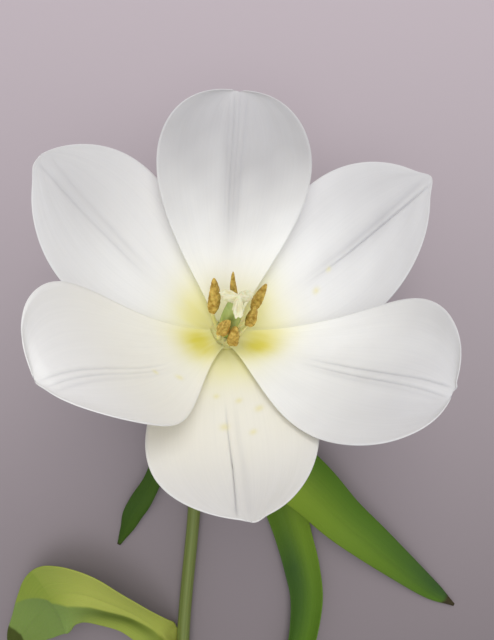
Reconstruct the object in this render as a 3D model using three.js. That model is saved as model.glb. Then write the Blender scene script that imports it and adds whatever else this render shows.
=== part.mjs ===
// A single cut tulip with a wide-open white flower, lying on a flat surface.
// Millimetres, +Z up. The stem lies along -Y and the flower looks up from its bent neck.
// Three leaves clasp the stem. Two of them fold over under the flower and come back.
import * as THREE from 'three';

// The whole plant, measured from a point on the surface below the flower. standsAt moves it so
// that the middle of its bounding box's bottom face is the origin.
const standsAt = [5.7, 80.1, 0];

// The flower: its seat is the middle of the receptacle's top, and its axis leans from straight
// up towards +Y and then towards +X.
const flowerSeat = [-6.3, -4.1, 28];
const flowerLean = 25;
const flowerRoll = 11;

// Petals. Angles are in degrees. rise holds four slopes above the flower's base plane, blended
// from base to tip; cup holds three half-angles of the bowed cross-section, blended the same way.
// widest is the place of the greatest width along the length, and tipPower sharpens the tip.
const petalThickness = 0.7;
const petalRows = 13;
const petalColumns = 8;
const petalEnd = 0.995;         // part of the length used, so that the tip keeps a narrow edge
const innerSeat = { radius: 3.9, height: 0 };
const outerSeat = { radius: 4.6, height: -1.3 };
const petals = [
  { name: 'petal_top', seat: innerSeat, azimuth: 88.5, length: 65.5, halfWidth: 22, baseWidth: 2.8,
    widest: 0.7, tipPower: 0.48, rise: [36, 26, 69, 31],
    cup: [42, 15, 31], sweep: 0.01, twist: -5, skew: 0 },
  { name: 'petal_left', seat: innerSeat, azimuth: 212.4, length: 64, halfWidth: 21.2, baseWidth: 3,
    widest: 0.73, tipPower: 0.45, rise: [29, 26, 84, 23],
    cup: [38, 9, 42], sweep: -0.02, twist: 2.5, skew: -0.02 },
  { name: 'petal_right', seat: innerSeat, azimuth: 324.7, length: 64.3, halfWidth: 22.2, baseWidth: 2.9,
    widest: 0.73, tipPower: 0.44, rise: [30, 22, 74, 27],
    cup: [41, 10, 33], sweep: -0.02, twist: 2.5, skew: 0.07 },
  { name: 'petal_upper_left', seat: outerSeat, azimuth: 149.8, length: 66.3, halfWidth: 21.7, baseWidth: 3,
    widest: 0.59, tipPower: 0.71, rise: [26, 32, 36, 45],
    cup: [39, 27, 10], sweep: -0.05, twist: -2.5, skew: -0.03 },
  { name: 'petal_upper_right', seat: outerSeat, azimuth: 26.6, length: 69.3, halfWidth: 21.9, baseWidth: 3,
    widest: 0.55, tipPower: 0.71, rise: [26, 33, 37, 44],
    cup: [36, 27, 11], sweep: 0.05, twist: 1.5, skew: 0.06 },
  { name: 'petal_bottom', seat: outerSeat, azimuth: 266.7, length: 64.3, halfWidth: 21.7, baseWidth: 3,
    widest: 0.53, tipPower: 0.58, rise: [27, 34, 38, 52],
    cup: [38, 27, 7], sweep: -0.02, twist: 2.5, skew: -0.1 },
];

// Stamens, in the flower's own frame: each anther runs from foot to tip. Its stations are
// [part of its length, part of its radius].
const stamens = [
  { foot: [-4.9, 3, 8], tip: [-5.3, 9.2, 17.5] },
  { foot: [1.9, 5.6, 10], tip: [-0.1, 10.2, 19.5] },
  { foot: [6.8, 3.9, 9], tip: [9.3, 7, 18.5] },
  { foot: [4.8, -1.4, 9.5], tip: [5.4, 0.2, 18] },
  { foot: [0.6, -6.6, 8], tip: [0.2, -5.2, 16.5] },
  { foot: [-3.4, -4, 9.5], tip: [-1.8, -4.1, 18] },
];
const stamenRing = 2.7;         // radius of the ring that the filaments stand on
const stamenAzimuths = [150, 90, 30, 330, 270, 210];
const filamentRadius = 0.5;
const filamentTaper = 0.55;     // part of the radius lost towards the anther
const filamentEnd = 0.93;       // part of the curve used, so that it stops short of the anther
const antherRadius = 1.5;
const antherStations = [[0.03, 0.35], [0.12, 0.8], [0.35, 1], [0.65, 0.85], [0.9, 0.5], [1, 0.2]];

// Pistil, as [height, radius] stations up the flower's axis.
const ovaryStations = [[0.5, 1.6], [4, 2.3], [8, 2.8], [13, 2.7], [18, 2.2], [20.7, 1.8]];
const ovaryLobe = 0.08;
const stigmaStations = [[21, 1.9], [22, 2.6], [23.4, 3.3], [24.6, 3.5]];
const stigmaLobe = 0.32;
const stigmaTurn = 30;          // degrees about the axis, so that one lobe points at the lowest petal

// Stem: centre line from the receptacle's top, round the neck and along the surface to the cut.
// It swells into the receptacle, and it is thinnest where the middle leaf clasps it.
const stemLine = [
  [-6.3, -4.1, 28.2], [-7.4, -6.6, 22.7], [-10.3, -14.1, 13], [-13.6, -25.6, 6.6], [-16.4, -38, 5],
  [-17.6, -52, 4.6], [-18.8, -70, 3.3], [-21.6, -100, 3.6], [-22.6, -120, 4.3], [-22.8, -148, 3.8],
  [-21.8, -176, 4.4], [-20.2, -196, 4.3], [-17.4, -222, 2.8],
];
const stemRadii = [3.2, 3.2, 2.6, 2.6, 2.6, 2.5, 2.4, 2.3, 2.2, 2.2, 2.2, 2.3, 2.4, 2.5, 2.6, 2.7, 2.8];
const stemSides = 12;
const stemSteps = 44;

// Leaves, as stations along the blade: a point on its middle line, its half-width, the half-angle of
// its bowed cross-section in degrees, and the way its inner side looks.
const leafThickness = 0.9;
const leafColumns = 6;
const leaves = [
  { name: 'lower_leaf', rows: 46, stations: [
    [[-16.7, -192, 4.4], 6.2, 96, [-1, 0, 0]],
    [[-17.9, -177, 4.5], 6.2, 92, [-1, 0, 0]],
    [[-10, -162.5, 3.6], 7.2, 78, [-0.7, 0.2, 0.8]],
    [[1.5, -147, 1.9], 7.4, 74, [-0.3, 0.1, 1]],
    [[12.5, -131, 1], 6.8, 76, [-0.1, 0, 1]],
    [[18.3, -116, 0.75], 6.2, 78, [0, 0, 1]],
    [[20.9, -99, 0.75], 6.6, 62, [0, 0, 1]],
    [[19.4, -87, 0.75], 6.9, 52, [0, 0, 1]],
    [[16.4, -76, 0.75], 7, 46, [0, 0, 1]],
    [[13.2, -65, 0.75], 7.8, 40, [0, 0, 1]],
    [[10.8, -56, 0.9], 8.8, 30, [0, 0, 1]],
    [[9.2, -49.8, 2.6], 9.3, 24, [0.4, -0.6, 0.7]],
    [[9.4, -47.3, 6.9], 9.6, 20, [0.5, -0.9, 0]],
    [[11.6, -48, 11.2], 9.8, 20, [0.4, -0.6, -0.7]],
    [[15.8, -51.4, 12.8], 9.9, 24, [0, 0, -1]],
    [[23, -58, 12], 9.4, 28, [0, 0, -1]],
    [[32, -67.3, 10], 8.4, 30, [0, 0, -1]],
    [[42, -76, 8], 7.2, 30, [0, 0, -1]],
    [[51.4, -84.2, 5.8], 5.9, 32, [0, 0, -1]],
    [[60, -91.4, 3.6], 4.6, 34, [0, 0, -1]],
    [[67, -96.8, 1.9], 3, 34, [0, 0, -1]],
    [[73.2, -100.9, 0.8], 0.4, 30, [0, 0, -1]],
  ] },
  { name: 'middle_leaf', rows: 26, stations: [
    [[-26.4, -126, 4.4], 6.2, 96, [1, 0, 0]],
    [[-26.8, -116, 4.8], 6.4, 88, [1, 0, 0.1]],
    [[-28.4, -110.6, 6], 6, 58, [1, -0.1, 0.2]],
    [[-31.8, -105.6, 7.4], 5.8, 46, [0.6, -0.3, 0.8]],
    [[-38, -100, 9.2], 6.8, 42, [0.1, -0.3, 1]],
    [[-46, -95.2, 11.2], 8, 34, [0, -0.2, 1]],
    [[-53.6, -92, 12], 9.2, 30, [-0.1, -0.1, 1]],
    [[-60.4, -91.6, 11.4], 10.8, 28, [-0.2, 0, 1]],
    [[-66.4, -94.2, 9.4], 11.4, 28, [-0.3, 0.1, 1]],
    [[-71.8, -100.2, 6.4], 9.6, 28, [-0.4, 0.1, 1]],
    [[-77, -107.2, 3.6], 6.6, 30, [-0.3, 0.1, 1]],
    [[-81, -112.8, 1.8], 4.4, 30, [-0.2, 0.1, 1]],
    [[-84.4, -118, 0.8], 0.5, 30, [-0.2, 0.1, 1]],
  ] },
  { name: 'upper_leaf', rows: 28, stations: [
    [[-21.3, -51, 4.4], 5.6, 88, [1, 0.1, 0]],
    [[-21.9, -44, 4.1], 5.2, 74, [0.9, 0.1, 0.4]],
    [[-24.8, -37, 2], 4.6, 46, [0.3, 0, 1]],
    [[-26.6, -31, 1.7], 4.4, 34, [0, -0.3, 1]],
    [[-27.4, -27.2, 4.8], 4.3, 28, [0, -1, 0]],
    [[-28, -29.8, 8], 4.3, 28, [0, -0.4, -1]],
    [[-28.8, -37, 8.6], 4.2, 30, [0, 0, -1]],
    [[-29.6, -47, 7.4], 3.4, 30, [0, 0, -1]],
    [[-32.6, -55.6, 6], 3.1, 30, [0, 0, -1]],
    [[-37.4, -63.8, 4.3], 3.8, 32, [0, 0, -1]],
    [[-40.4, -69, 3.1], 3.4, 34, [0, 0, -1]],
    [[-42.8, -74.2, 1.9], 2.2, 34, [0, 0, -1]],
    [[-45.4, -79.4, 0.8], 0.5, 30, [0, 0, -1]],
  ] },
];

const petalWhite = new THREE.MeshStandardMaterial({ color: 0xf1efe6, roughness: 0.55 });
const leafGreen = new THREE.MeshStandardMaterial({ color: 0x5f8a35, roughness: 0.5 });
const stemGreen = new THREE.MeshStandardMaterial({ color: 0x84923f, roughness: 0.5 });
const filamentCream = new THREE.MeshStandardMaterial({ color: 0xece2a0, roughness: 0.6 });
const antherGold = new THREE.MeshStandardMaterial({ color: 0xb48a33, roughness: 0.85 });
const ovaryGreen = new THREE.MeshStandardMaterial({ color: 0xa6b560, roughness: 0.45 });
const stigmaCream = new THREE.MeshStandardMaterial({ color: 0xe6dfb6, roughness: 0.7 });

const radians = THREE.MathUtils.degToRad;

// Bernstein blend of a few stations at t from 0 to 1.
function blend(stations, t) {
  let layer = [...stations];
  while (layer.length > 1) {
    layer = layer.slice(1).map((value, i) => THREE.MathUtils.lerp(layer[i], value, t));
  }
  return layer[0];
}

// Straight-line value of evenly spread stations at t from 0 to 1.
function station(values, t) {
  const place = Math.min(t * (values.length - 1), values.length - 1.000001);
  const i = Math.floor(place);
  return THREE.MathUtils.lerp(values[i], values[i + 1], place - i);
}

function smoothLine(points) {
  const vectors = points.map((p) => new THREE.Vector3(...p));
  return new THREE.CatmullRomCurve3(vectors, false, 'catmullrom', 0.5);
}

// A closed solid lofted through rings of equal length. Each end is closed by strips that join
// the ring's first half to its second half.
function loft(rings) {
  const count = rings[0].length;
  const index = [];
  for (let i = 0; i + 1 < rings.length; i++) {
    for (let j = 0; j < count; j++) {
      const a = i * count + j;
      const b = i * count + (j + 1) % count;
      index.push(a, b, b + count, a, b + count, a + count);
    }
  }
  const last = (rings.length - 1) * count;
  for (let j = 0; j + 1 < count / 2; j++) {
    const k = count - 1 - j;
    index.push(j, k, k - 1, j, k - 1, j + 1);
    index.push(last + j, last + k - 1, last + k, last + j, last + j + 1, last + k - 1);
  }
  if (signedVolume(rings.flat(), index) < 0) index.reverse();
  const geometry = new THREE.BufferGeometry().setFromPoints(rings.flat());
  geometry.setIndex(index);
  geometry.computeVertexNormals();
  return geometry;
}

function signedVolume(points, index) {
  let sum = 0;
  for (let i = 0; i < index.length; i += 3) {
    const [a, b, c] = [points[index[i]], points[index[i + 1]], points[index[i + 2]]];
    sum += a.dot(new THREE.Vector3().crossVectors(b, c));
  }
  return sum / 6;
}

// One cross-section of a blade: an arc bowed towards facing, given thickness both ways.
function bladeRing({ centre, along, facing, halfWidth, cup, lead = 0 }, thickness, columns) {
  const side = new THREE.Vector3().crossVectors(facing, along).normalize();
  const bowRadius = halfWidth / cup;
  const upper = [];
  const lower = [];
  for (let j = 0; j <= columns; j++) {
    const v = 2 * j / columns - 1;
    const inward = facing.clone().multiplyScalar(Math.cos(v * cup)).addScaledVector(side, -Math.sin(v * cup));
    const point = centre.clone().addScaledVector(facing, bowRadius)
      .addScaledVector(inward, -bowRadius).addScaledVector(along, v * lead);
    upper.push(point.clone().addScaledVector(inward, thickness / 2));
    lower.unshift(point.addScaledVector(inward, -thickness / 2));
  }
  return [...upper, ...lower];
}

// A round or lobed cross-section about a point.
function roundRing(centre, along, radius, sides, lobe = 0) {
  const start = Math.abs(along.z) < 0.9 ? new THREE.Vector3(0, 0, 1) : new THREE.Vector3(1, 0, 0);
  const across = start.addScaledVector(along, -start.dot(along)).normalize();
  const up = new THREE.Vector3().crossVectors(along, across);
  return Array.from({ length: sides }, (_, j) => {
    const angle = 2 * Math.PI * j / sides;
    const reach = radius * (1 + lobe * Math.cos(3 * angle));
    return centre.clone()
      .addScaledVector(across, reach * Math.cos(angle))
      .addScaledVector(up, reach * Math.sin(angle));
  });
}

// The level direction at an angle about the flower's axis.
function outwardAt(azimuth) {
  return new THREE.Vector3(Math.cos(radians(azimuth)), Math.sin(radians(azimuth)), 0);
}

// A petal's midrib climbs from its seat at the blended slope; its width follows a power curve.
function petal(spec) {
  const outward = outwardAt(spec.azimuth);
  const sideways = new THREE.Vector3(-outward.y, outward.x, 0);
  const basePower = spec.tipPower * spec.widest / (1 - spec.widest);
  const centre = outward.clone().multiplyScalar(spec.seat.radius);
  centre.z = spec.seat.height;
  const rings = [];
  let reached = 0;
  for (let i = 0; i <= petalRows; i++) {
    const u = petalEnd * Math.sin(Math.PI / 2 * i / petalRows);
    const slope = radians(blend(spec.rise, u));
    const along = outward.clone().multiplyScalar(Math.cos(slope)).setZ(Math.sin(slope));
    const facing = outward.clone().multiplyScalar(-Math.sin(slope)).setZ(Math.cos(slope));
    const middle = radians(blend(spec.rise, (u + reached) / 2));
    const step = spec.length * (u - reached);
    centre.addScaledVector(outward, step * Math.cos(middle));
    centre.z += step * Math.sin(middle);
    reached = u;
    facing.applyAxisAngle(along, radians(spec.twist) * u);
    const shape = (u / spec.widest) ** basePower * ((1 - u) / (1 - spec.widest)) ** spec.tipPower;
    rings.push(bladeRing({
      centre: centre.clone().addScaledVector(sideways, spec.sweep * spec.length * u * u),
      along,
      facing,
      halfWidth: spec.halfWidth * shape + spec.baseWidth * (1 - u) ** 4,
      cup: radians(blend(spec.cup, u)),
      lead: spec.skew * spec.length * Math.sin(Math.PI * u),
    }, petalThickness, petalColumns));
  }
  return loft(rings);
}

function leaf(spec) {
  const spine = smoothLine(spec.stations.map(([point]) => point));
  const facings = smoothLine(spec.stations.map(([, , , facing]) => facing));
  const widths = smoothLine(spec.stations.map(([, halfWidth, cup]) => [halfWidth, cup, 0]));
  const rings = [];
  for (let i = 0; i <= spec.rows; i++) {
    const t = i / spec.rows;
    const along = spine.getTangent(t);
    const facing = facings.getPoint(t);
    facing.addScaledVector(along, -facing.dot(along)).normalize();
    const { x: halfWidth, y: cup } = widths.getPoint(t);
    rings.push(bladeRing({
      centre: spine.getPoint(t), along, facing, halfWidth, cup: radians(cup),
    }, leafThickness, leafColumns));
  }
  return loft(rings);
}

function stem() {
  const line = smoothLine(stemLine);
  const rings = [];
  for (let i = 0; i <= stemSteps; i++) {
    const t = i / stemSteps;
    rings.push(roundRing(line.getPoint(t), line.getTangent(t), station(stemRadii, t), stemSides));
  }
  return loft(rings);
}

function filament(azimuth, foot) {
  const base = outwardAt(azimuth).multiplyScalar(stamenRing).setZ(0.5);
  const top = new THREE.Vector3(...foot);
  const bend = base.clone().add(top).multiplyScalar(0.5).setZ(top.z * 0.35);
  const line = new THREE.QuadraticBezierCurve3(base, bend, top);
  const rings = [0, 0.25, 0.5, 0.75, 1].map((part) => {
    const t = part * filamentEnd;
    return roundRing(line.getPoint(t), line.getTangent(t), filamentRadius * (1 - filamentTaper * t), 6);
  });
  return loft(rings);
}

function anther(foot, tip) {
  const start = new THREE.Vector3(...foot);
  const axis = new THREE.Vector3(...tip).sub(start);
  const along = axis.clone().normalize();
  return loft(antherStations.map(([t, fat]) => (
    roundRing(start.clone().addScaledVector(axis, t), along, antherRadius * fat, 8))));
}

function lobedColumn(stations, lobe, sides) {
  const up = new THREE.Vector3(0, 0, 1);
  return loft(stations.map(([height, radius], i) => (
    roundRing(new THREE.Vector3(0, 0, height), up, radius, sides, lobe * (i + 1) / stations.length))));
}

const tulip = new THREE.Group();
tulip.position.set(...standsAt);

const flower = new THREE.Group();
flower.position.set(...flowerSeat);
flower.rotation.set(-radians(flowerLean), radians(flowerRoll), 0, 'YXZ');
tulip.add(flower);

function addPiece(parent, name, geometry, material) {
  const mesh = new THREE.Mesh(geometry, material);
  mesh.name = name;
  parent.add(mesh);
}

addPiece(tulip, 'stem', stem(), stemGreen);
leaves.forEach((spec) => addPiece(tulip, spec.name, leaf(spec), leafGreen));
petals.forEach((spec) => addPiece(flower, spec.name, petal(spec), petalWhite));
stamens.forEach(({ foot, tip }, i) => {
  addPiece(flower, `filament_${i + 1}`, filament(stamenAzimuths[i], foot), filamentCream);
  addPiece(flower, `anther_${i + 1}`, anther(foot, tip), antherGold);
});
addPiece(flower, 'ovary', lobedColumn(ovaryStations, ovaryLobe, 18), ovaryGreen);
const stigmaShape = lobedColumn(stigmaStations, stigmaLobe, 24).rotateZ(radians(stigmaTurn));
addPiece(flower, 'stigma', stigmaShape, stigmaCream);

export default tulip;
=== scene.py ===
import bpy
import numpy as np
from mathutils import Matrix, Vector


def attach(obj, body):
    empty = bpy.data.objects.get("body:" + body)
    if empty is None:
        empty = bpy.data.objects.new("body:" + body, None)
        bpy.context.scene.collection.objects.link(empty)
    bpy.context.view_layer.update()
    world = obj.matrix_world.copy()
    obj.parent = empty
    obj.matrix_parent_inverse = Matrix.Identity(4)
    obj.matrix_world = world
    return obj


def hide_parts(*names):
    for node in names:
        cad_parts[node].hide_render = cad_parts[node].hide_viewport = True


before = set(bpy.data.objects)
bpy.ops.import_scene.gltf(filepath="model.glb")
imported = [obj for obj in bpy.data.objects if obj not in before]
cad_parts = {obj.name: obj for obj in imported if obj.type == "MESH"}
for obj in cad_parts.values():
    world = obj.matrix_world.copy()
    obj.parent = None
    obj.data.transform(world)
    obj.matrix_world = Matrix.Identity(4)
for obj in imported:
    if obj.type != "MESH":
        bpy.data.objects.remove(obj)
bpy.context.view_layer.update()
print("frame loaded:", len(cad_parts), "nodes")

mm = 0.001
body = "root"

# The plant's own frame, in mm: the same shift and flower seat as the solids were built with.
plant = {
    "standsAt": (5.7, 80.1, 0.0),
    "flowerSeat": (-6.3, -4.1, 28.0),
    "lean": 25.0,
    "roll": 11.0,
}


def blend(stations, t):
    # Bernstein blend: repeated straight-line mixing of neighbouring stations
    layer = [np.zeros_like(t) + s for s in stations]
    while len(layer) > 1:
        layer = [a + (b - a) * t for a, b in zip(layer, layer[1:])]
    return layer[0]


def smoothLine(points, t):
    # Catmull-Rom spline through the points, evenly spaced in its parameter
    p = np.asarray(points, float)
    p = np.vstack([2 * p[0] - p[1], p, 2 * p[-1] - p[-2]])
    place = np.clip(t * (len(p) - 3), 0, len(p) - 3 - 1e-9)
    i = place.astype(int)
    w = (place - i)[..., None]
    a, b, c, d = p[i], p[i + 1], p[i + 2], p[i + 3]
    return 0.5 * (2 * b + (c - a) * w + (2 * a - 5 * b + 4 * c - d) * w**2 + (3 * b - a - 3 * c + d) * w**3)


def smoothValues(values, t):
    # the same spline for single numbers
    return smoothLine(np.asarray(values, float)[:, None], t)[..., 0]


def unit(vectors):
    # each vector divided by its own length
    return vectors / np.maximum(np.linalg.norm(vectors, axis=-1, keepdims=True), 1e-9)


def smoothStep(low, high, x):
    # 0 below low, 1 above high, an S-curve between
    t = np.clip((x - low) / (high - low), 0, 1)
    return t * t * (3 - 2 * t)


def ripple(x, y, seed):
    # sum of five sine waves of rising pitch and falling height, in turned directions
    total = np.zeros_like(x + y)
    for k in range(5):
        turn = seed * 1.7 + k * 2.4
        pitch = 1.9**k
        total = total + np.sin(pitch * (x * np.cos(turn) + y * np.sin(turn)) + seed * 3.1 + k) / pitch**0.8
    return total / 2


def flowerToWorld(points):
    # lean about X, then roll about Y, then move to the seat
    lean, roll = np.radians(plant["lean"]), np.radians(plant["roll"])
    x, y, z = np.moveaxis(points, -1, 0)
    y, z = y * np.cos(lean) + z * np.sin(lean), z * np.cos(lean) - y * np.sin(lean)
    x, z = x * np.cos(roll) + z * np.sin(roll), z * np.cos(roll) - x * np.sin(roll)
    return np.stack([x, y, z], -1) + plant["flowerSeat"]


def gridNormals(points):
    # cross product of the grid's two difference directions
    return unit(np.cross(np.gradient(points, axis=1), np.gradient(points, axis=0)))


def ringFaces(rows, count):
    # quads between neighbouring rings, and strips that close the first and the last ring
    i, j = np.meshgrid(np.arange(rows - 1) * count, np.arange(count), indexing="ij")
    k = (j + 1) % count
    sides = np.stack([i + j, i + k, i + count + k, i + count + j], -1).reshape(-1, 4)
    h = np.arange(count // 2 - 1)
    cap = np.stack([h + 1, h, count - 1 - h, count - 2 - h], -1)
    return np.vstack([sides, cap, (cap + (rows - 1) * count)[:, ::-1]])


def makePiece(name, rings, material, nodes, uv=None, attributes=None):
    # rings: array of closed cross-sections in plant mm. Faces are turned outward by signed volume.
    rows, count = rings.shape[:2]
    world = (rings.reshape(-1, 3) + plant["standsAt"]) * mm
    faces = ringFaces(rows, count)
    a, b, c, d = (world[faces[:, n]] for n in range(4))
    volume = np.einsum("ij,ij->", a, np.cross(b, c)) + np.einsum("ij,ij->", a, np.cross(c, d))
    if volume < 0:
        faces = faces[:, ::-1]
    mesh = bpy.data.meshes.new(name)
    mesh.from_pydata(world.tolist(), [], faces.tolist())
    mesh.shade_smooth()
    if uv is not None:
        layer = mesh.uv_layers.new(name="surfaceMap")
        layer.data.foreach_set("uv", uv.reshape(-1, 2)[faces.ravel()].ravel())
    for key, values in (attributes or {}).items():
        store = mesh.attributes.new(key, "FLOAT", "POINT")
        store.data.foreach_set("value", np.asarray(values, np.float32).ravel())
    mesh.materials.append(material)
    piece = bpy.data.objects.new(name, mesh)
    bpy.context.scene.collection.objects.link(piece)
    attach(piece, body)
    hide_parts(*nodes)


def thickShell(points, normals, thickness):
    # the sheet moved half its thickness each way, its two sides joined into closed rings
    upper = points + normals * thickness[..., None] / 2
    lower = points - normals * thickness[..., None] / 2
    return np.concatenate([upper, lower[:, ::-1]], axis=1)


def bothSides(values):
    # the same value on the upper and the lower side of a shell
    return np.concatenate([values, values[:, ::-1]], axis=1)


def node(material, kind, **settings):
    # each setting goes to the socket of that name, or to the node itself
    made = material.node_tree.nodes.new(kind)
    for key, value in settings.items():
        if key in made.inputs:
            made.inputs[key].default_value = value
        else:
            setattr(made, key, value)
    return made


def link(material, source, target):
    material.node_tree.links.new(source, target)


def startMaterial(name, settings):
    # a new material, with the shader's even values set on its own sockets
    material = bpy.data.materials.new(name)
    material.use_nodes = True
    shader = material.node_tree.nodes["Principled BSDF"]
    for key, value in settings.items():
        shader.inputs[key].default_value = value
    return material, shader


def mixColour(material, factor, first, second, mode="MIX"):
    # first where the factor is 0 and second where it is 1; each is a colour or another node's output
    mix = node(material, "ShaderNodeMix", data_type="RGBA", blend_type=mode)
    link(material, factor, mix.inputs[0])
    for socket, value in ((mix.inputs[6], first), (mix.inputs[7], second)):
        if isinstance(value, tuple):
            socket.default_value = (*value, 1)
        else:
            link(material, value, socket)
    return mix.outputs[2]


def scaled(material, source, amount):
    # the source multiplied by a fixed amount
    times = node(material, "ShaderNodeMath", operation="MULTIPLY")
    link(material, source, times.inputs[0])
    times.inputs[1].default_value = amount
    return times.outputs[0]


def contrast(material, source, low, high):
    # black below low, white above high and straight between
    made = node(material, "ShaderNodeValToRGB")
    for element, place, tone in zip(made.color_ramp.elements, (low, high), (0, 1)):
        element.position = place
        element.color = (tone, tone, tone, 1)
    link(material, source, made.inputs[0])
    return made.outputs[0]


def attribute(material, name):
    # a painted amount, stored at the piece's vertices
    return node(material, "ShaderNodeAttribute", attribute_name=name).outputs["Fac"]


def surfaceStreaks(material, across, along):
    # noise on the piece's own map, stretched along its length
    place = node(material, "ShaderNodeUVMap", uv_map="surfaceMap")
    stretch = node(material, "ShaderNodeMapping")
    stretch.inputs["Scale"].default_value = (across, along, 1)
    noise = node(material, "ShaderNodeTexNoise", Scale=1.0, Detail=3.0, Roughness=0.6)
    link(material, place.outputs[0], stretch.inputs["Vector"])
    link(material, stretch.outputs[0], noise.inputs["Vector"])
    return noise.outputs["Fac"]


def bodyNoise(material, scale):
    # noise on the piece's own coordinates in metres
    place = node(material, "ShaderNodeTexCoord")
    noise = node(material, "ShaderNodeTexNoise", Scale=scale, Detail=3.0)
    link(material, place.outputs["Object"], noise.inputs["Vector"])
    return noise.outputs["Fac"]


def addBump(material, shader, height, strength, distance, previous=None):
    # fine relief, laid over the previous one where there is one
    bump = node(material, "ShaderNodeBump", Strength=strength, Distance=distance)
    link(material, height, bump.inputs["Height"])
    if previous is not None:
        link(material, previous, bump.inputs["Normal"])
    link(material, bump.outputs[0], shader.inputs["Normal"])
    return bump.outputs[0]


petalLook = {
    "shader": {"Roughness": 0.5, "Subsurface Weight": 0.3, "Subsurface Radius": (1.0, 0.95, 0.85),
               "Subsurface Scale": 0.0015, "Sheen Weight": 0.1},
    "veinStreaks": (70.0, 1.4),       # streaks across and along a petal
    "fineStreaks": (170.0, 2.4),
    "veinAmount": 0.11,
    "white": (0.95, 0.95, 0.935),
    "vein": (0.74, 0.75, 0.765),
    # grey: the colour of painted shade, towards the tip and along the midrib
    "greyShade": (0.54, 0.533, 0.545),
    "cream": (0.95, 0.91, 0.78),
    # crease: the colour of painted shade in the grooves
    "creaseShade": (0.42, 0.42, 0.45),
    "blush": (0.94, 0.91, 0.47),
    "throat": (0.72, 0.64, 0.10),
    # rim: the colour of a painted highlight along the petal's rim
    "rim": (0.90, 0.895, 0.87),
    "pollen": (0.86, 0.78, 0.34),
}


def petalMaterial():
    # white tissue with faint long veins, greyed towards the tip by painted shade (over the thinner tip's own
    # tone), creamy and yellow towards the foot, with painted shade in the grooves and a painted highlight
    # along the rim
    material, shader = startMaterial("petalSkin", petalLook["shader"])
    streaks = surfaceStreaks(material, *petalLook["veinStreaks"])
    veins = scaled(material, contrast(material, streaks, 0.40, 0.72), petalLook["veinAmount"])
    colour = mixColour(material, attribute(material, "greyShade"), petalLook["white"], petalLook["greyShade"])
    colour = mixColour(material, attribute(material, "cream"), colour, petalLook["cream"])
    colour = mixColour(material, veins, colour, petalLook["vein"], "MULTIPLY")
    # the crease colour lays painted shade in the grooves, the rim colour a painted highlight along the rim
    for key in ("blush", "throat", "creaseShade", "rim", "pollen"):
        colour = mixColour(material, attribute(material, key), colour, petalLook[key])
    link(material, colour, shader.inputs["Base Color"])
    fine = surfaceStreaks(material, *petalLook["fineStreaks"])
    first = addBump(material, shader, streaks, 0.08, 0.0003)
    addBump(material, shader, fine, 0.09, 0.00012, first)
    return material


leafSurface = {
    "shader": {"Roughness": 0.55, "Specular IOR Level": 0.2, "Subsurface Weight": 0.12,
               "Subsurface Radius": (0.6, 1.0, 0.3), "Subsurface Scale": 0.001},
    "streaks": (26.0, 1.2),           # streaks across and along a blade
    "fineStreaks": (70.0, 1.0),
    "cloudScale": 45.0,
    "cloudAmount": 0.3,
}


def leafMaterial(name, look):
    # long streaks between two greens, with painted bright, waxy and scorched areas and areas of painted shade
    material, shader = startMaterial(name, leafSurface["shader"])
    streaks = surfaceStreaks(material, *leafSurface["streaks"])
    colour = mixColour(material, streaks, look["dark"], look["light"])
    clouds = contrast(material, bodyNoise(material, leafSurface["cloudScale"]), 0.40, 0.75)
    colour = mixColour(material, scaled(material, clouds, leafSurface["cloudAmount"]), colour, look["bloom"])
    # the deep colour lays painted shade over the blade
    for key in ("bright", "deepShade", "bloom", "scorch"):
        colour = mixColour(material, attribute(material, key), colour, look[key])
    link(material, colour, shader.inputs["Base Color"])
    fine = surfaceStreaks(material, *leafSurface["fineStreaks"])
    addBump(material, shader, fine, 0.4, 0.0003)
    return material


stemLook = {
    "shader": {"Roughness": 0.45, "Subsurface Weight": 0.1, "Subsurface Scale": 0.001},
    "streaks": (14.0, 6.0),           # streaks round and along the stem
    "dark": (0.10, 0.13, 0.02),
    "light": (0.24, 0.30, 0.07),
    "cut": (0.50, 0.55, 0.26),
    "crown": (0.80, 0.76, 0.34),
}


def stemMaterial():
    # streaks between two greens, with a paler cut end and a cream crown under the flower
    material, shader = startMaterial("stemSkin", stemLook["shader"])
    streaks = surfaceStreaks(material, *stemLook["streaks"])
    colour = mixColour(material, streaks, stemLook["dark"], stemLook["light"])
    for key in ("cut", "crown"):
        colour = mixColour(material, attribute(material, key), colour, stemLook[key])
    link(material, colour, shader.inputs["Base Color"])
    addBump(material, shader, streaks, 0.3, 0.0004)
    return material


# The small inner parts: two colours, how fine their speckle is, how rough and how deep in metres.
tissues = {
    "filamentSkin": dict(dark=(0.86, 0.80, 0.36), light=(0.88, 0.84, 0.52), scale=200.0, roughness=0.5,
                         depth=0.0002),
    "antherPollen": dict(dark=(0.34, 0.20, 0.02), light=(0.68, 0.48, 0.11), scale=900.0, roughness=0.85,
                         depth=0.0002),
    "ovaryWall": dict(dark=(0.33, 0.44, 0.11), light=(0.45, 0.55, 0.18), scale=300.0, roughness=0.4,
                      depth=0.0002),
    "stigmaVelvet": dict(dark=(0.74, 0.70, 0.42), light=(0.82, 0.80, 0.58), scale=700.0, roughness=0.7,
                         depth=0.0003),
}


def tissueMaterial(name):
    # speckles between two colours, which also roughen the surface
    look = tissues[name]
    material, shader = startMaterial(name, {
        "Roughness": look["roughness"], "Subsurface Weight": 0.1, "Subsurface Scale": 0.001})
    spots = bodyNoise(material, look["scale"])
    colour = mixColour(material, contrast(material, spots, 0.35, 0.65), look["dark"], look["light"])
    link(material, colour, shader.inputs["Base Color"])
    addBump(material, shader, spots, 0.6, look["depth"])
    return material
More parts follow.
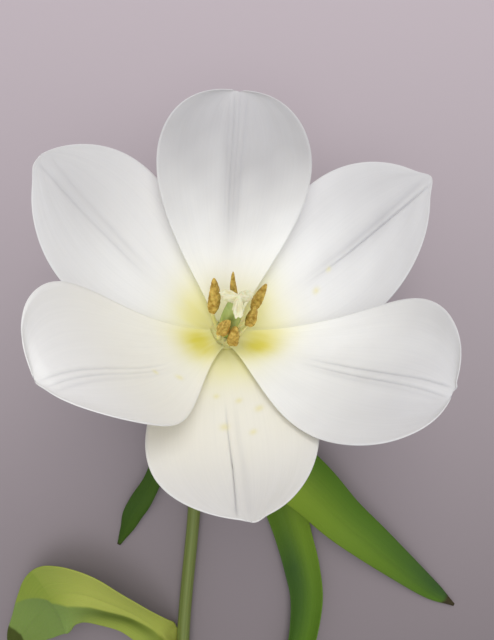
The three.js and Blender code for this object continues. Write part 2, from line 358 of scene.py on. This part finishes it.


# The shape first, as the solids have it, with slopes and bows in degrees and sizes in mm. Then the finish.
# lines: fine grooves beside the midrib, each with its distance at the foot and at the tip, its depth and
# its half-width; painted shade lies in them. throat, blush and cream: amounts of colour. grey shade: an
# amount of painted shade that greys the petal towards its tip. throatShift: how far the deep yellow is from
# the midrib. midrib shade: a grey band of painted shade along the midrib. wave: height of the rim's waves.
# peak: how far the tip stands out, over what half-width and how far from the midrib. roll: how far the rim
# bends back.
# pollen: fallen grains, each with its distance along and beside the midrib and its size.
petals = {
    "petal_top": dict(
        ring="inner", azimuth=88.5, length=65.5, halfWidth=22, baseWidth=3.8, widest=0.7, tipPower=0.48,
        rise=(36, 26, 69, 31), cup=(42, 15, 31), sweep=0.01, twist=-5, skew=0,
        lines=[(0.4, 0.8, 0.16, 0.35), (1.5, 2.2, 0.08, 0.5), (-1.6, -2.4, 0.1, 0.5), (-0.8, -0.6, 0.1, 0.4)],
        throat=0.2, throatShift=0, blush=0.45, cream=0.05, greyShade=1.0, midribShade=0.35,
        wave=0.3, peak=(-0.25, 0.7, 0.0), roll=0.0, seed=1),
    "petal_left": dict(
        ring="inner", azimuth=212.4, length=64, halfWidth=21.2, baseWidth=3.8, widest=0.73, tipPower=0.45,
        rise=(29, 26, 84, 23), cup=(38, 9, 42), sweep=-0.02, twist=2.5, skew=-0.02,
        lines=[(3.2, 0.8, 0.24, 0.4), (4.2, 2.8, 0.22, 0.4), (5, 4.6, 0.12, 0.6)],
        throat=1.0, throatShift=-1.0, blush=0.7, cream=0.6, greyShade=0.2, midribShade=0.0,
        wave=0.5, peak=(0.3, 1.5, 0.0), roll=0.6, seed=2,
        pollen=[(24, 7.5, 1.0), (30, 4, 0.7)]),
    "petal_right": dict(
        ring="inner", azimuth=324.7, length=64.3, halfWidth=22.2, baseWidth=3.8, widest=0.73, tipPower=0.44,
        rise=(30, 22, 74, 27), cup=(41, 10, 33), sweep=-0.02, twist=2.5, skew=0.07,
        lines=[(0.6, 1.5, 0.34, 0.4), (-0.8, -1.2, 0.34, 0.4), (-1.8, -2.6, 0.12, 0.7)],
        throat=1.0, throatShift=1.0, blush=0.6, cream=0.1, greyShade=0.62, midribShade=0.1,
        wave=0.5, peak=(0.4, 0.6, 0.6), roll=0.0, seed=3),
    "petal_upper_left": dict(
        ring="outer", azimuth=149.8, length=66.3, halfWidth=21.7, baseWidth=4.6, widest=0.59, tipPower=0.71,
        rise=(26, 32, 36, 45), cup=(39, 27, 10), sweep=-0.05, twist=-2.5, skew=-0.03,
        lines=[(0.8, 1.6, 0.14, 0.6), (-1.0, -2.0, 0.08, 0.7)],
        throat=0.4, throatShift=0, blush=0.9, cream=0.1, greyShade=0.6, midribShade=0.1,
        wave=0.4, peak=(0.8, 2.4, 0.6), roll=0.0, seed=4),
    "petal_upper_right": dict(
        ring="outer", azimuth=26.6, length=69.3, halfWidth=21.9, baseWidth=4.6, widest=0.55, tipPower=0.71,
        rise=(26, 33, 37, 44), cup=(36, 27, 11), sweep=0.05, twist=1.5, skew=0.06,
        lines=[(0.2, -2.2, 0.36, 0.4), (1.2, 0.2, 0.12, 0.8)],
        throat=0.35, throatShift=0, blush=0.95, cream=0.0, greyShade=0.68, midribShade=0.2,
        wave=0.4, peak=(1.5, 3.0, 2.2), roll=0.0, seed=5,
        pollen=[(27, -4.5, 1.0), (33, -1.5, 0.7)]),
    "petal_bottom": dict(
        ring="outer", azimuth=266.7, length=64.3, halfWidth=21.7, baseWidth=4.6, widest=0.53, tipPower=0.58,
        rise=(27, 34, 38, 52), cup=(38, 27, 7), sweep=-0.02, twist=2.5, skew=-0.1,
        lines=[(-1.2, -2.0, 0.4, 0.35), (1.0, 0.6, 0.1, 0.9)],
        throat=0.15, throatShift=0, blush=0.9, cream=0.9, greyShade=0.55, midribShade=0.0,
        wave=0.4, peak=(1.0, 1.8, 0.0), roll=0.0, seed=6,
        pollen=[(23, 2, 0.9), (28, 7, 1.1), (32, -2.5, 1.2), (36, 4.5, 0.9), (20, -4, 0.8)]),
}
petalGrid = {"rows": 130, "columns": 120, "thickness": 0.55, "rimThickness": 0.25}
petalSeats = {"inner": (3.9, 0.0), "outer": (4.6, -1.3)}  # radius and height of each ring of feet


def petalSheet(spec):
    # The midrib climbs at the blended slope, and each cross-section is an arc across it. u runs from foot
    # to tip, closer towards the tip; v runs from side to side, closer round the midrib.
    u = 0.9995 * np.sin(np.pi / 2 * np.linspace(0, 1, petalGrid["rows"]))
    across = np.linspace(-1, 1, petalGrid["columns"])
    v = across * (0.6 + 0.4 * across**2)
    slope = np.radians(blend(spec["rise"], u))
    steps = np.diff(u, prepend=0) * spec["length"]
    middle = np.radians(blend(spec["rise"], u - np.diff(u, prepend=0) / 2))
    seatRadius, seatHeight = petalSeats[spec["ring"]]
    radius = seatRadius + np.cumsum(steps * np.cos(middle))
    height = seatHeight + np.cumsum(steps * np.sin(middle))
    basePower = spec["tipPower"] * spec["widest"] / (1 - spec["widest"])
    shape = (u / spec["widest"])**basePower * ((1 - u) / (1 - spec["widest"]))**spec["tipPower"]
    width = spec["halfWidth"] * shape + spec["baseWidth"] * (1 - u)**4
    bow = np.radians(blend(spec["cup"], u))
    angle = bow[:, None] * v
    lateral = (width / bow)[:, None] * np.sin(angle)
    lift = (width / bow)[:, None] * (1 - np.cos(angle))
    turn = np.radians(spec["twist"]) * u[:, None]
    lateral, lift = lateral * np.cos(turn) - lift * np.sin(turn), lateral * np.sin(turn) + lift * np.cos(turn)
    lateral = lateral + spec["sweep"] * spec["length"] * (u**2)[:, None]
    stand, reachAcross, offset = spec["peak"]
    peak = stand * np.exp(-(((lateral - offset) / reachAcross)**2)) * smoothStep(0.93, 1.0, u)[:, None]
    lead = spec["skew"] * spec["length"] * np.sin(np.pi * u)[:, None] * v + peak
    azimuth = np.radians(spec["azimuth"])
    outward = np.array([np.cos(azimuth), np.sin(azimuth), 0])
    sideways = np.array([-np.sin(azimuth), np.cos(azimuth), 0])
    up = np.array([0, 0, 1.0])
    sinSlope, cosSlope = np.sin(slope)[:, None], np.cos(slope)[:, None]
    reach = radius[:, None] - lift * sinSlope + lead * cosSlope
    rise = height[:, None] + lift * cosSlope + lead * sinSlope
    points = reach[..., None] * outward + lateral[..., None] * sideways + rise[..., None] * up
    return u[:, None] + 0 * v, v + 0 * u[:, None], width[:, None], points


def petalGrooves(spec, u, v, width):
    # narrow grooves that start past the foot, fade before the tip and vary in depth
    place = v * width
    window = smoothStep(0.32, 0.6, u) * smoothStep(1.0, 0.94, u)
    grooves = np.zeros_like(u)
    for start, end, depth, halfWidth in spec["lines"]:
        line = start + (end - start) * u + 0.15 * np.sin(11 * u + spec["seed"])
        grooves = grooves + depth * np.exp(-(((place - line) / halfWidth)**2))
    return grooves * window * np.clip(1 + 0.35 * ripple(u * 8, v * 2, spec["seed"] + 2), 0.2, 1.6)


def petalRelief(spec, u, v, grooves):
    # waves that grow towards the rim, faint long folds and hollows
    waves = spec["wave"] * np.abs(v)**3 * np.sin(7.5 * u + 2.1 * spec["seed"] + 1.3 * v)
    folds = 0.1 * ripple(v * 5, u * 2.2, spec["seed"]) + 0.35 * ripple(v * 1.6, u * 3, spec["seed"] + 9)
    inside = smoothStep(0.05, 0.4, u) * smoothStep(1.0, 0.9, u)
    return (waves + folds) * inside - grooves


def petalMarks(spec, u, v, width, grooves):
    # bell curves about a place: yellow gathers on the midrib near the foot, cream fades outward, painted
    # grey shade grows to the tip and lies in a band along the midrib, painted shade fills the grooves and a
    # painted highlight runs along the rim
    beside = v * width
    foot = u * spec["length"]
    uneven = 1 + 0.12 * ripple(v * 9, u * 14, spec["seed"] + 4)
    gather = np.exp(-(((foot - 6.8) / 6.6)**2) - ((beside - spec["throatShift"]) / 6)**2)
    throat = spec["throat"] * gather * uneven
    blush = spec["blush"] * np.exp(-((foot / 15)**2.5)) * uneven
    cream = spec["cream"] * (1 - 0.7 * smoothStep(0.5, 0.95, u))
    # painted shade: grey that grows to the tip in uneven clouds, and a grey band along the midrib
    clouds = 0.22 * ripple(v * 2.6, u * 3.4, spec["seed"] + 7) * smoothStep(0.2, 0.5, u)
    band = np.exp(-((beside / 3.2)**2)) * smoothStep(0.2, 0.5, u) * smoothStep(0.95, 0.7, u)
    greyShade = spec["greyShade"] * (smoothStep(0.2, 0.95, u) + clouds) + spec["midribShade"] * band
    # a painted highlight along the rim
    rim = 0.2 * smoothStep(0.975, 1.0, np.abs(v)) * smoothStep(0.2, 0.5, u)
    pollen = np.zeros_like(u)
    for along, aside, size in spec.get("pollen", []):
        pollen = pollen + 0.6 * np.exp(-(((foot - along) / size)**2) - ((beside - aside) / size)**2)
    # the crease mark is painted shade in the grooves
    marks = {"throat": throat, "blush": blush, "cream": cream, "greyShade": greyShade, "rim": rim,
             "creaseShade": 1.4 * grooves, "pollen": pollen}
    return {key: np.clip(value, 0, 1) for key, value in marks.items()}


def makePetal(name, spec, material):
    # the sheet is moved along its normals by the relief, and its rim back and in by the roll
    u, v, width, points = petalSheet(spec)
    normals = gridNormals(points)
    half = petalGrid["columns"] // 2
    turn = np.sign(normals[petalGrid["rows"] // 3, half, 2])
    grooves = petalGrooves(spec, u, v, width)
    lengthwise = unit(np.gradient(points[:, half], axis=0))[:, None]
    inward = turn * normals[:, half:half + 1]
    rim = np.maximum(np.abs(v)**2, u**3)
    roll = spec["roll"] * smoothStep(0.84, 1.0, rim) * smoothStep(0.45, 0.7, u)
    roll = roll * smoothStep(13, 4, v * width)
    points = points + normals * turn * petalRelief(spec, u, v, grooves)[..., None]
    points = points - roll[..., None] * (inward + 0.4 * lengthwise)
    normals = gridNormals(points)
    edge = np.maximum(np.abs(v), u)**6
    thickness = petalGrid["thickness"] * (1 - edge) + petalGrid["rimThickness"] * edge
    rings = flowerToWorld(thickShell(points, normals, thickness))
    marks = {key: bothSides(value) for key, value in petalMarks(spec, u, v, width, grooves).items()}
    uv = np.stack([bothSides(v / 2 + 0.5), bothSides(u)], -1)
    makePiece(name + "_skin", rings, material, [name], uv, marks)


# rows is the blade's fineness, and scorch is where its brown tip starts, as part of its length. The
# lists are spread evenly from base to tip: foldLine is where a long fold lies across the blade (-1 to 1)
# and foldDrop how steeply the blade falls away past it; deep shade, bright and bloom are amounts of painted
# shade (a darker green, put on the near side of the fold where it is negative), a yellower green and a
# blue-grey wax. foldBlur is how softly the colours change across the fold, and lens keeps the painted
# shade close beside it.
# stations, base to tip: a point on the blade's middle line, its half-width, the half-angle of its bowed
# cross-section in degrees, and the way its inner side looks.
leaves = {
    "lower_leaf": dict(
        rows=300, scorch=0.968, seed=3, foldLine=(0,), foldDrop=(0.03,), foldBlur=0.5, lens=False,
        deepShade=(0, 0, 0, 0.3, 0.7, 0.9, 0.3, 0, 0, 0, 0, -0.1, -0.25, -0.6, -1, -1),
        bright=(0.2, 0.2, 0.2, 0.1, 0.1, 0.3, 0.55, 0.6, 0.8, 1, 1, 0.7, 0.4, 0.2, 0, 0), bloom=(0,),
        stations=[
            ((-16.7, -192, 4.4), 6.2, 96, (-1, 0, 0)),
            ((-17.9, -177, 4.5), 6.2, 92, (-1, 0, 0)),
            ((-10, -162.5, 3.6), 7.2, 78, (-0.7, 0.2, 0.8)),
            ((1.5, -147, 1.9), 7.4, 74, (-0.3, 0.1, 1)),
            ((12.5, -131, 1), 6.8, 76, (-0.1, 0, 1)),
            ((18.3, -116, 0.75), 6.2, 78, (0, 0, 1)),
            ((20.9, -99, 0.75), 6.6, 62, (0, 0, 1)),
            ((19.4, -87, 0.75), 6.9, 52, (0, 0, 1)),
            ((16.4, -76, 0.75), 7, 46, (0, 0, 1)),
            ((13.2, -65, 0.75), 7.8, 40, (0, 0, 1)),
            ((10.8, -56, 0.9), 8.8, 30, (0, 0, 1)),
            ((9.2, -49.8, 2.6), 9.3, 24, (0.4, -0.6, 0.7)),
            ((9.4, -47.3, 6.9), 9.6, 20, (0.5, -0.9, 0)),
            ((11.6, -48, 11.2), 9.8, 20, (0.4, -0.6, -0.7)),
            ((15.8, -51.4, 12.8), 9.9, 24, (0, 0, -1)),
            ((23, -58, 12), 9.4, 28, (0, 0, -1)),
            ((32, -67.3, 10), 8.4, 30, (0, 0, -1)),
            ((42, -76, 8), 7.2, 30, (0, 0, -1)),
            ((51.4, -84.2, 5.8), 5.9, 32, (0, 0, -1)),
            ((60, -91.4, 3.6), 4.6, 34, (0, 0, -1)),
            ((67, -96.8, 1.9), 3, 34, (0, 0, -1)),
            ((73.2, -100.9, 0.8), 0.4, 30, (0, 0, -1)),
        ]),
    "middle_leaf": dict(
        rows=200, scorch=0.875, seed=5, foldBlur=0.06, lens=True,
        foldLine=(0.1, 0.1, 0.1, 0.1, 0.2, 0.32, 0.42, 0.38, 0.14, -0.6, -1.4, -1.5, -1.5),
        foldDrop=(0, 0, 0.1, 0.3, 0.45, 0.5, 0.5, 0.45, 0.3, 0.1, 0, 0, 0),
        deepShade=(0.2, 0.2, 0.2, 0.6, 0.9, 0.9, 0.6, 0.1, 0, 0, 0, 0, 0),
        bright=(1, 1, 1, 0.8, 0.8, 0.9, 0.9, 0.6, 0.2, 0, 0, 0, 0),
        bloom=(0, 0, 0, 0, 0, 0.1, 0.5, 0.75, 0.85, 0.8, 0.7, 0.7, 0.7),
        stations=[
            ((-26.4, -126, 4.4), 6.2, 96, (1, 0, 0)),
            ((-26.8, -116, 4.8), 6.4, 88, (1, 0, 0.1)),
            ((-28.4, -110.6, 6), 6, 58, (1, -0.1, 0.2)),
            ((-31.8, -105.6, 7.4), 5.8, 46, (0.6, -0.3, 0.8)),
            ((-38, -100, 9.2), 6.8, 42, (0.1, -0.3, 1)),
            ((-46, -95.2, 11.2), 8, 34, (0, -0.2, 1)),
            ((-53.6, -92, 12), 9.2, 30, (-0.1, -0.1, 1)),
            ((-60.4, -91.6, 11.4), 10.8, 28, (-0.2, 0, 1)),
            ((-66.4, -94.2, 9.4), 11.4, 28, (-0.3, 0.1, 1)),
            ((-71.8, -100.2, 6.4), 9.6, 28, (-0.4, 0.1, 1)),
            ((-77, -107.2, 3.6), 6.6, 30, (-0.3, 0.1, 1)),
            ((-81, -112.8, 1.8), 4.4, 30, (-0.2, 0.1, 1)),
            ((-84.4, -118, 0.8), 0.5, 30, (-0.2, 0.1, 1)),
        ]),
    "upper_leaf": dict(
        rows=200, scorch=0.985, seed=8, foldLine=(0,), foldDrop=(0.1,), foldBlur=0.3, lens=False,
        deepShade=(0.3,), bright=(0.1,), bloom=(0,),
        stations=[
            ((-21.3, -51, 4.4), 5.6, 88, (1, 0.1, 0)),
            ((-21.9, -44, 4.1), 5.2, 74, (0.9, 0.1, 0.4)),
            ((-24.8, -37, 2), 4.6, 46, (0.3, 0, 1)),
            ((-26.6, -31, 1.7), 4.4, 34, (0, -0.3, 1)),
            ((-27.4, -27.2, 4.8), 4.3, 28, (0, -1, 0)),
            ((-28, -29.8, 8), 4.3, 28, (0, -0.4, -1)),
            ((-28.8, -37, 8.6), 4.2, 30, (0, 0, -1)),
            ((-29.6, -47, 7.4), 3.4, 30, (0, 0, -1)),
            ((-32.6, -55.6, 6), 3.1, 30, (0, 0, -1)),
            ((-37.4, -63.8, 4.3), 3.8, 32, (0, 0, -1)),
            ((-40.4, -69, 3.1), 3.4, 34, (0, 0, -1)),
            ((-42.8, -74.2, 1.9), 2.2, 34, (0, 0, -1)),
            ((-45.4, -79.4, 0.8), 0.5, 30, (0, 0, -1)),
        ]),
}
leafGrid = {"columns": 61, "thickness": 0.8, "rimThickness": 0.3, "wave": 0.15}


def alongLeaf(values, t):
    # straight-line value of a list that is spread evenly from base to tip, as a column
    return np.interp(t, np.linspace(0, 1, len(values)), values)[:, None]


def leafMarks(spec, t, v):
    # painted areas, painted shade among them, follow the fold line; the tip is scorched along an uneven edge
    past = v - alongLeaf(spec["foldLine"], t)
    uneven = 0.05 * ripple(v * 4, t[:, None] * 30, spec["seed"])
    far = smoothStep(-spec["foldBlur"], spec["foldBlur"], past + 0.3 * uneven)
    deepShade = alongLeaf(spec["deepShade"], t)
    # the dark lens: painted shade kept close beside the fold
    lens = np.exp(-(((past - 0.2) / 0.28)**2)) if spec["lens"] else 1
    brightSide = np.where(deepShade > 0, 1 - 0.6 * far, smoothStep(-0.9, 0.5, past))
    # deep shade: painted shade past the fold, and on its near side where the amount is negative
    marks = {
        "deepShade": np.clip(deepShade, 0, 1) * far * lens + np.clip(-deepShade, 0, 1) * smoothStep(0.9, -0.6, past),
        "bright": alongLeaf(spec["bright"], t) * brightSide,
        "bloom": alongLeaf(spec["bloom"], t) * far,
        "scorch": smoothStep(spec["scorch"], spec["scorch"] + 0.012, t[:, None] + 0.05 * uneven),
    }
    return {key: np.clip(value + 0 * far, 0, 1) for key, value in marks.items()}


def makeLeaf(name, spec, material):
    # each cross-section is an arc about the spine, bowed towards the side it faces
    t = np.linspace(0, 1, spec["rows"])
    v = np.linspace(-1, 1, leafGrid["columns"])
    count = len(spec["stations"])
    at, halfWidth, cup, facing = (smoothLine(np.reshape(column, (count, -1)), t)
                                  for column in zip(*spec["stations"]))
    along = unit(np.gradient(at, axis=0))
    facing = unit(facing - along * np.sum(facing * along, axis=1, keepdims=True))
    side = np.cross(facing, along)
    bow = np.radians(cup)
    angle = bow * v
    inward = np.cos(angle)[..., None] * facing[:, None] - np.sin(angle)[..., None] * side[:, None]
    points = at[:, None] + (halfWidth / bow)[..., None] * (facing[:, None] - inward)
    past = np.maximum(v - alongLeaf(spec["foldLine"], t), 0)
    drop = alongLeaf(spec["foldDrop"], t) * halfWidth * past
    groove = 0.25 * np.exp(-((v * halfWidth / 0.7)**2))
    waves = leafGrid["wave"] * np.abs(v)**2 * np.sin(40 * t[:, None] + spec["seed"] + v)
    waves = waves * smoothStep(0.25, 0.4, t)[:, None] * smoothStep(1.0, 0.9, t)[:, None]
    points = points + inward * (waves - groove - drop)[..., None]
    edge = np.abs(v)**6 + 0 * t[:, None]
    thickness = leafGrid["thickness"] * (1 - edge) + leafGrid["rimThickness"] * edge
    rings = thickShell(points, inward, thickness)
    uv = np.stack([bothSides(v / 2 + 0.5 + 0 * t[:, None]), bothSides(t[:, None] + 0 * v)], -1)
    marks = {key: bothSides(value) for key, value in leafMarks(spec, t, v).items()}
    makePiece(name + "_blade", rings, material, [name], uv, marks)


def tubeRings(line, radii, sides, lobes=0, lobeHeight=0.0, upHint=(0, 0, 1)):
    # circles about a line, swelling and shrinking with radii, with cosine lobes round them
    along = unit(np.gradient(line, axis=0))
    hint = np.asarray(upHint, float)
    across = unit(np.cross(along, hint))
    up = np.cross(across, along)
    angle = np.linspace(0, 2 * np.pi, sides, endpoint=False)
    reach = radii[:, None] * (1 + lobeHeight * np.cos(lobes * angle))
    ring = np.cos(angle)[None, :, None] * across[:, None] + np.sin(angle)[None, :, None] * up[:, None]
    return line[:, None] + reach[..., None] * ring, angle


stemParts = {
    "line": [
        (-6.3, -4.1, 28.2), (-7.4, -6.6, 22.7), (-10.3, -14.1, 13), (-13.6, -25.6, 6.6), (-16.4, -38, 5),
        (-17.6, -52, 4.6), (-18.8, -70, 3.3), (-21.6, -100, 3.6), (-22.6, -120, 4.3), (-22.8, -148, 3.8),
        (-21.8, -176, 4.4), (-20.2, -196, 4.3), (-17.4, -222, 2.8)],
    "radii": [4.9, 4.5, 2.8, 2.6, 2.6, 2.5, 2.4, 2.3, 2.2, 2.2, 2.2, 2.3, 2.4, 2.5, 2.6, 2.7, 2.8],
    "rows": 320,
    "sides": 40,
}


def makeStem(material):
    # circles along the line, with the cut end and the crown painted by smooth steps
    t = np.linspace(0, 1, stemParts["rows"])
    line = smoothLine(stemParts["line"], t)
    radii = smoothValues(stemParts["radii"], t)
    rings, angle = tubeRings(line, radii, stemParts["sides"])
    uv = np.stack(np.broadcast_arrays(angle / (2 * np.pi) + 0 * t[:, None], t[:, None] + 0 * angle), -1)
    cut = smoothStep(0.9965, 0.9995, t)[:, None] + 0 * angle
    crown = smoothStep(0.03, 0.012, t)[:, None] + 0 * angle
    makePiece("stem_skin", rings, material, ["stem"], uv, {"cut": cut, "crown": crown})


# Each anther runs from foot to tip in the flower's frame, and its filament stands on the ring.
stamens = [
    dict(azimuth=150, foot=(-4.9, 3, 8), tip=(-5.3, 9.2, 17.5), fat=1.1),
    dict(azimuth=90, foot=(1.9, 5.6, 10), tip=(-0.1, 10.2, 19.5), fat=0.62),
    dict(azimuth=30, foot=(6.8, 3.9, 9), tip=(9.3, 7, 18.5), fat=0.95),
    dict(azimuth=330, foot=(4.8, -1.4, 9.5), tip=(5.4, 0.2, 18), fat=1.0),
    dict(azimuth=270, foot=(0.6, -6.6, 8), tip=(0.2, -5.2, 16.5), fat=1.1),
    dict(azimuth=210, foot=(-3.4, -4, 9.5), tip=(-1.8, -4.1, 18), fat=1.05),
]
stamenSizes = {"ring": 2.7, "filamentRadius": 0.75, "antherRadius": 1.7, "upHint": (0.3, 0.2, 0.1)}


def makeFilament(number, spec, material):
    # a tapering stalk on a quadratic curve from the ring to the anther's foot
    t = np.linspace(0, 1, 28)
    azimuth = np.radians(spec["azimuth"])
    base = stamenSizes["ring"] * np.array([np.cos(azimuth), np.sin(azimuth), 0])
    top = np.array(spec["foot"], float)
    bend = np.array([(base[0] + top[0]) / 2, (base[1] + top[1]) / 2, top[2] * 0.35])
    line = blend([base, bend, top], t[:, None] + np.zeros(3))
    radii = stamenSizes["filamentRadius"] * (1.15 - 0.6 * t)
    rings, _ = tubeRings(line, radii, 14, upHint=stamenSizes["upHint"])
    makePiece(f"filament_{number}_stalk", flowerToWorld(rings), material, [f"filament_{number}"])


def makeAnther(number, spec, material):
    # a spindle of four pollen sacks: cosine lobes round it, ripples over it, a slight bend
    t = np.linspace(0.01, 0.995, 90)
    foot, tip = np.array(spec["foot"], float), np.array(spec["tip"], float)
    line = foot + (tip - foot) * t[:, None]
    side = np.cross(tip - foot, (0, 0, 1.0))
    line = line + 0.5 * np.sin(np.pi * t)[:, None] * unit(side) * np.sin(number * 2.1)
    radii = spec["fat"] * stamenSizes["antherRadius"] * np.sin(np.pi * t**0.8)**0.45 * (1.05 - 0.4 * t)
    rings, angle = tubeRings(line, radii, 48, lobes=4, lobeHeight=0.16, upHint=stamenSizes["upHint"])
    centre = line[:, None]
    crumbs = 1 + 0.05 * ripple(angle * 6 + 3 * t[:, None], t[:, None] * 45, number)
    rings = centre + (rings - centre) * crumbs[..., None]
    makePiece(f"anther_{number}_sacks", flowerToWorld(rings), material, [f"anther_{number}"])


pistil = {
    "ovaryHeights": [0.3, 4, 8, 13, 18, 21.2],
    "ovaryRadii": [1.6, 2.3, 2.8, 2.7, 2.3, 1.7],
    "stigmaFoot": 20.6,
    "stigmaHeight": 3.8,
    "stigmaCore": 1.5,        # radius between the arms
    "stigmaArm": 3.5,         # how much further the arms reach
    "stigmaTurn": 30,
}


def makeOvary(material):
    # a column with three broad lobes
    t = np.linspace(0, 1, 90)
    heights = smoothValues(pistil["ovaryHeights"], t)
    radii = smoothValues(pistil["ovaryRadii"], t)
    angle = np.linspace(0, 2 * np.pi, 72, endpoint=False)
    lobes = 1 + 0.09 * np.cos(3 * (angle - np.radians(pistil["stigmaTurn"]))) + 0.02 * np.cos(6 * angle)
    reach = radii[:, None] * lobes
    rings = np.stack([reach * np.cos(angle), reach * np.sin(angle), heights[:, None] + 0 * angle], -1)
    makePiece("ovary_wall", flowerToWorld(rings), material, ["ovary"])


def makeStigma(material):
    # a crest of three folded arms: a star-shaped rim that droops, grooved along each arm
    s = np.linspace(0, 1, 70)[:, None]
    angle = np.linspace(0, 2 * np.pi, 144, endpoint=False)
    star = (0.5 + 0.5 * np.cos(3 * (angle - np.radians(pistil["stigmaTurn"]))))**1.2
    profile = np.sin(np.pi * s)**0.7
    frill = 0.05 * np.sin(17 * angle) + 0.04 * np.sin(29 * angle + 1)
    reach = (pistil["stigmaCore"] + pistil["stigmaArm"] * star) * profile * (1 + frill * profile) + 0.05
    height = pistil["stigmaFoot"] + pistil["stigmaHeight"] * s**1.3
    height = height + (0.25 * np.sin(12 * angle) - 0.5 * star) * profile
    groove = 1.1 * np.exp(-(((1 - star) / 0.1)**2)) * smoothStep(0.5, 0.8, s) * profile
    rings = np.stack([reach * np.cos(angle), reach * np.sin(angle), height - groove], -1)
    makePiece("stigma_crest", flowerToWorld(rings), material, ["stigma"])


petalSkin = petalMaterial()
for petalName, petalSpec in petals.items():
    makePetal(petalName, petalSpec, petalSkin)
print("petals made")

# deep: the colour of each leaf's painted shade
leafLooks = {
    "lower_leaf": dict(light=(0.115, 0.235, 0.012), dark=(0.06, 0.14, 0.008), bright=(0.25, 0.37, 0.03),
                       deepShade=(0.04, 0.095, 0.018), bloom=(0.10, 0.20, 0.035), scorch=(0.045, 0.035, 0.012)),
    "middle_leaf": dict(light=(0.30, 0.37, 0.05), dark=(0.20, 0.28, 0.03), bright=(0.42, 0.46, 0.09),
                        deepShade=(0.08, 0.12, 0.008), bloom=(0.17, 0.26, 0.07), scorch=(0.062, 0.08, 0.009)),
    "upper_leaf": dict(light=(0.06, 0.13, 0.008), dark=(0.035, 0.08, 0.006), bright=(0.10, 0.18, 0.02),
                       deepShade=(0.025, 0.065, 0.006), bloom=(0.06, 0.12, 0.03), scorch=(0.05, 0.05, 0.015)),
}
for leafName, leafSpec in leaves.items():
    makeLeaf(leafName, leafSpec, leafMaterial(leafName + "_skin", leafLooks[leafName]))
print("leaves made")

makeStem(stemMaterial())
filamentSkin = tissueMaterial("filamentSkin")
antherSkin = tissueMaterial("antherPollen")
for index, stamenSpec in enumerate(stamens, 1):
    makeFilament(index, stamenSpec, filamentSkin)
    makeAnther(index, stamenSpec, antherSkin)
makeOvary(tissueMaterial("ovaryWall"))
makeStigma(tissueMaterial("stigmaVelvet"))
print("stem, stamens and pistil made")


studio = {
    # the floor's two ends: painted light falloff, shaded at -Y and lit at +Y
    "floorShadedEnd": (0.195, 0.165, 0.172),
    "floorLitEnd": (0.53, 0.46, 0.495),
    "floorReach": 0.18,           # half the distance over which the floor's tone changes
    "floorMiddle": 0.055,
    "floorHalf": 2.0,
    "cameraHeight": 0.182,
    "lens": 28.6875,              # focal length in mm, for the sensor's long side
    "sensor": 36.0,
    "ambient": (0.95, 0.96, 1.0),
    "ambientStrength": 0.46,
    "aimsAt": (0.0, 0.08, 0.05),
    "lights": {
        "key": dict(place=(0.08, 0.60, 0.85), size=0.8, power=4.8, colour=(1.0, 0.985, 0.96)),
        "fill": dict(place=(0.0, -0.15, 1.1), size=1.0, power=2.9, colour=(0.97, 0.98, 1.0)),
    },
}


def makeFloor():
    # one square, whose tone changes along Y: painted light falloff, darker at -Y and lighter at +Y
    mesh = bpy.data.meshes.new("floor")
    half = studio["floorHalf"]
    corners = [(-half, -half, 0), (half, -half, 0), (half, half, 0), (-half, half, 0)]
    mesh.from_pydata(corners, [], [(0, 1, 2, 3)])
    material, shader = startMaterial("floorPaper", {"Roughness": 0.9})
    place = node(material, "ShaderNodeTexCoord")
    axes = node(material, "ShaderNodeSeparateXYZ")
    link(material, place.outputs["Object"], axes.inputs[0])
    tone = node(material, "ShaderNodeMapRange", interpolation_type="SMOOTHSTEP")
    tone.inputs["From Min"].default_value = -studio["floorReach"] + studio["floorMiddle"]
    tone.inputs["From Max"].default_value = studio["floorReach"] + studio["floorMiddle"]
    link(material, axes.outputs["Y"], tone.inputs["Value"])
    colour = mixColour(material, tone.outputs[0], studio["floorShadedEnd"], studio["floorLitEnd"])
    link(material, colour, shader.inputs["Base Color"])
    mesh.materials.append(material)
    floor = bpy.data.objects.new("floor", mesh)
    bpy.context.scene.collection.objects.link(floor)


def makeLight(name, place, size, power, colour):
    # a round soft light that looks at the flower
    light = bpy.data.lights.new(name, "AREA")
    light.shape = "DISK"
    light.size = size
    light.energy = power
    light.color = colour
    lamp = bpy.data.objects.new(name, light)
    lamp.location = place
    lamp.rotation_euler = (Vector(studio["aimsAt"]) - Vector(place)).to_track_quat("-Z", "Y").to_euler()
    bpy.context.scene.collection.objects.link(lamp)


def makeWorld():
    # even light from all round
    world = bpy.data.worlds.new("studio")
    world.use_nodes = True
    background = world.node_tree.nodes["Background"]
    background.inputs["Color"].default_value = (*studio["ambient"], 1)
    background.inputs["Strength"].default_value = studio["ambientStrength"]
    bpy.context.scene.world = world


def makeCamera():
    # straight above the plant's own origin, looking down
    data = bpy.data.cameras.new("camera")
    data.sensor_width = studio["sensor"]
    data.lens = studio["lens"]
    data.clip_start = 0.005
    camera = bpy.data.objects.new("camera", data)
    shift = plant["standsAt"]
    camera.location = (shift[0] * mm, shift[1] * mm, studio["cameraHeight"])
    bpy.context.scene.collection.objects.link(camera)
    bpy.context.scene.camera = camera


makeFloor()
for lightName, lightSpec in studio["lights"].items():
    makeLight(lightName, **lightSpec)
makeWorld()
makeCamera()
bpy.context.scene.view_settings.view_transform = "Standard"
print("studio made")
